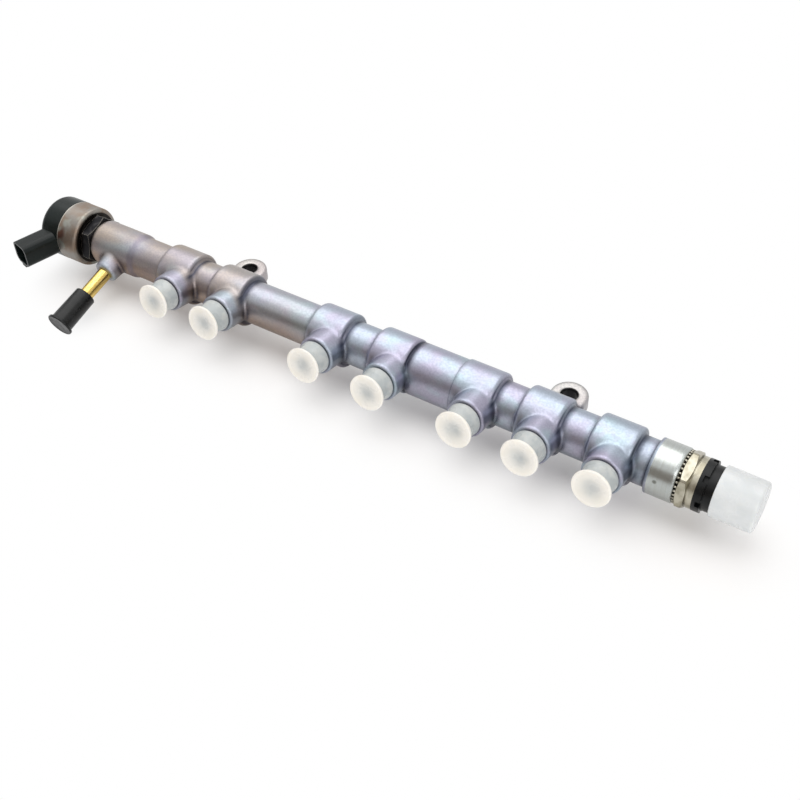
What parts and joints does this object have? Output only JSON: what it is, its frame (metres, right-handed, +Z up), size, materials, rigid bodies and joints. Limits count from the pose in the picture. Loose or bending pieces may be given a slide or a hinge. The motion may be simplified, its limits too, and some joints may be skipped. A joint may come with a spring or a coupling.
{
  "type": "common rail fuel rail",
  "caption": "Forged steel common-rail fuel rail with capped pipe ports on one side, bolt ears behind, a pressure valve with side socket at one end and a pressure sensor at the other.",
  "frame": {"origin": "midway between the two ear holes, on the ears' lower seat face", "axes": "+X along the rail from the valve to the sensor, +Z up along the ear holes, ports facing -Y"},
  "size_m": [0.445, 0.0928, 0.0396],
  "materials": {
    "forged_steel": "satin",
    "port_cap_plastic": "gloss",
    "nipple_brass": "gloss",
    "cap_rubber": "matte",
    "plated_steel": "satin",
    "blackened_steel": "satin",
    "turned_steel": "satin",
    "hardened_steel": "satin",
    "ball_steel": "mirror",
    "soft_iron": "satin",
    "spring_steel": "satin",
    "bobbin_plastic": "matte",
    "copper_winding": "satin",
    "black_plastic": "matte",
    "tinned_brass": "satin",
    "passivated_steel": "satin",
    "soft_copper": "satin",
    "sensor_plastic": "satin",
    "board_laminate": "matte",
    "milky_plastic": "satin"
  },
  "bodies": {
    "root": {"rail_body": "forged_steel", "port_cap_1": "port_cap_plastic", "port_cap_2": "port_cap_plastic", "port_cap_3": "port_cap_plastic", "port_cap_4": "port_cap_plastic", "port_cap_5": "port_cap_plastic", "port_cap_6": "port_cap_plastic", "port_cap_7": "port_cap_plastic", "return_nipple": "nipple_brass", "nipple_cap": "cap_rubber", "valve_can": "plated_steel", "valve_nut": "blackened_steel", "valve_stem": "turned_steel", "valve_seat": "hardened_steel", "valve_ball": "ball_steel", "valve_armature": "soft_iron", "valve_spring": "spring_steel", "valve_bobbin": "bobbin_plastic", "valve_coil": "copper_winding", "valve_cover": "black_plastic", "valve_terminal_1": "tinned_brass", "valve_terminal_2": "tinned_brass", "sensor_body": "passivated_steel", "sensor_cell": "hardened_steel", "sensor_seal": "soft_copper", "sensor_connector": "sensor_plastic", "sensor_board": "board_laminate", "sensor_contact_1": "tinned_brass", "sensor_contact_2": "tinned_brass", "sensor_contact_3": "tinned_brass", "sensor_cap": "milky_plastic"}
  },
  "joints": []
}
